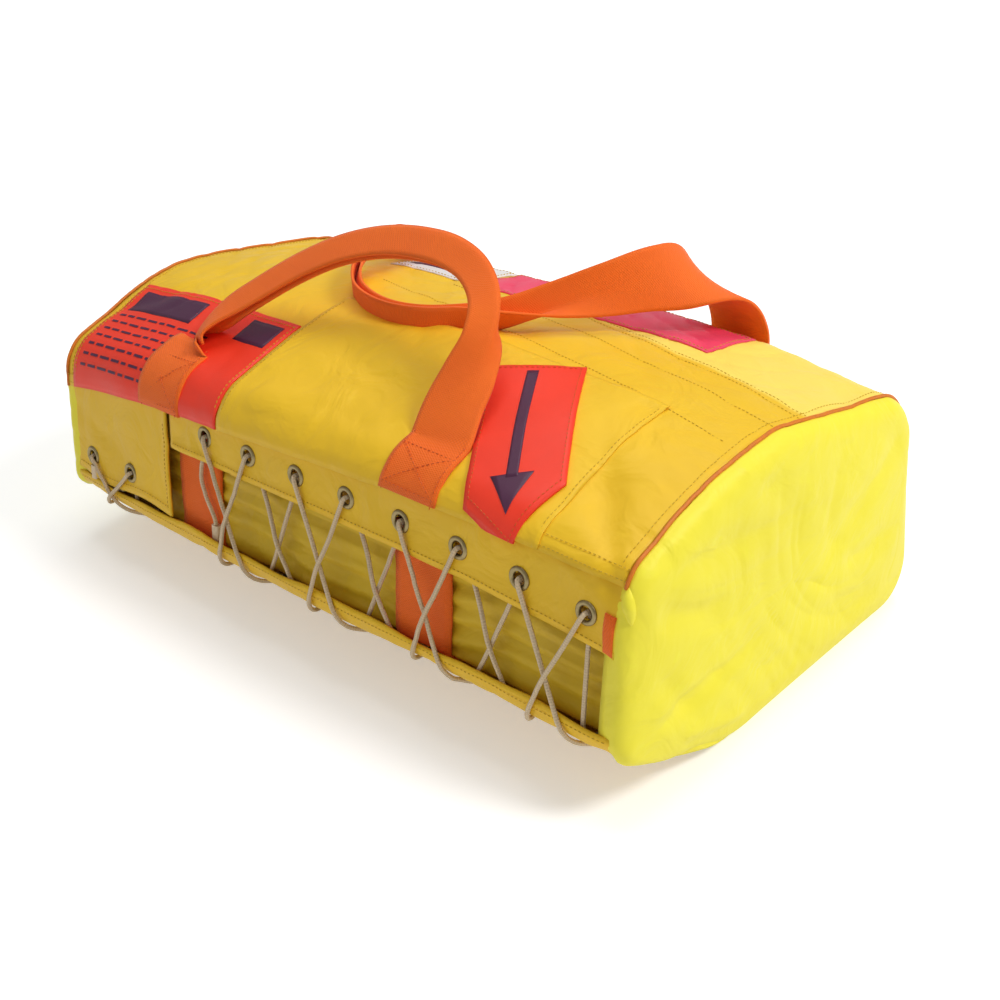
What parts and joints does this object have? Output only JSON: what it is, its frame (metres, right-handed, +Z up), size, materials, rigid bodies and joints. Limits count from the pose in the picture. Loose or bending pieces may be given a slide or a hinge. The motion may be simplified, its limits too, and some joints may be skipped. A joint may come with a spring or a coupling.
{
  "type": "packed liferaft valise",
  "caption": "Soft laced carrying case round a packed inflatable liferaft, with webbing handles, sewn patches and a criss-cross laced front.",
  "frame": {"origin": "on the floor, under the middle of the bounding box", "axes": "+X along the case, -Y towards the laced front, +Z up"},
  "size_m": [0.59, 0.3324, 0.2786],
  "materials": {
    "cover_cloth": "coated nylon, satin",
    "raft_cloth": "folded coated raft fabric",
    "handle_webbing": "woven webbing",
    "label_red": "printed coated cloth",
    "patch_white": "printed coated cloth",
    "piping_tape": "woven tape over cord",
    "lace_cord": "braided cord",
    "grommet_metal": "dull plated"
  },
  "bodies": {
    "root": {"packed_raft": "raft_cloth", "outer_cover": "cover_cloth", "left_end_panel": "cover_cloth", "right_end_panel": "cover_cloth", "left_piping": "piping_tape", "right_piping": "piping_tape", "upper_lacing_strip": "cover_cloth", "left_lacing_flap": "cover_cloth", "lower_lacing_strip": "cover_cloth", "upper_grommets": "grommet_metal", "left_flap_grommets": "grommet_metal", "lower_grommets": "grommet_metal", "front_lace": "lace_cord", "left_flap_lace": "lace_cord", "lace_knots": "lace_cord", "strip_binding_tag": "handle_webbing", "instruction_patch": "label_red", "top_flap": "cover_cloth", "pull_patch": "label_red", "rear_patch": "label_red", "rear_white_patch": "patch_white", "left_body_strap": "handle_webbing", "right_body_strap": "handle_webbing", "front_handle": "handle_webbing", "rear_handle": "handle_webbing"}
  },
  "joints": []
}
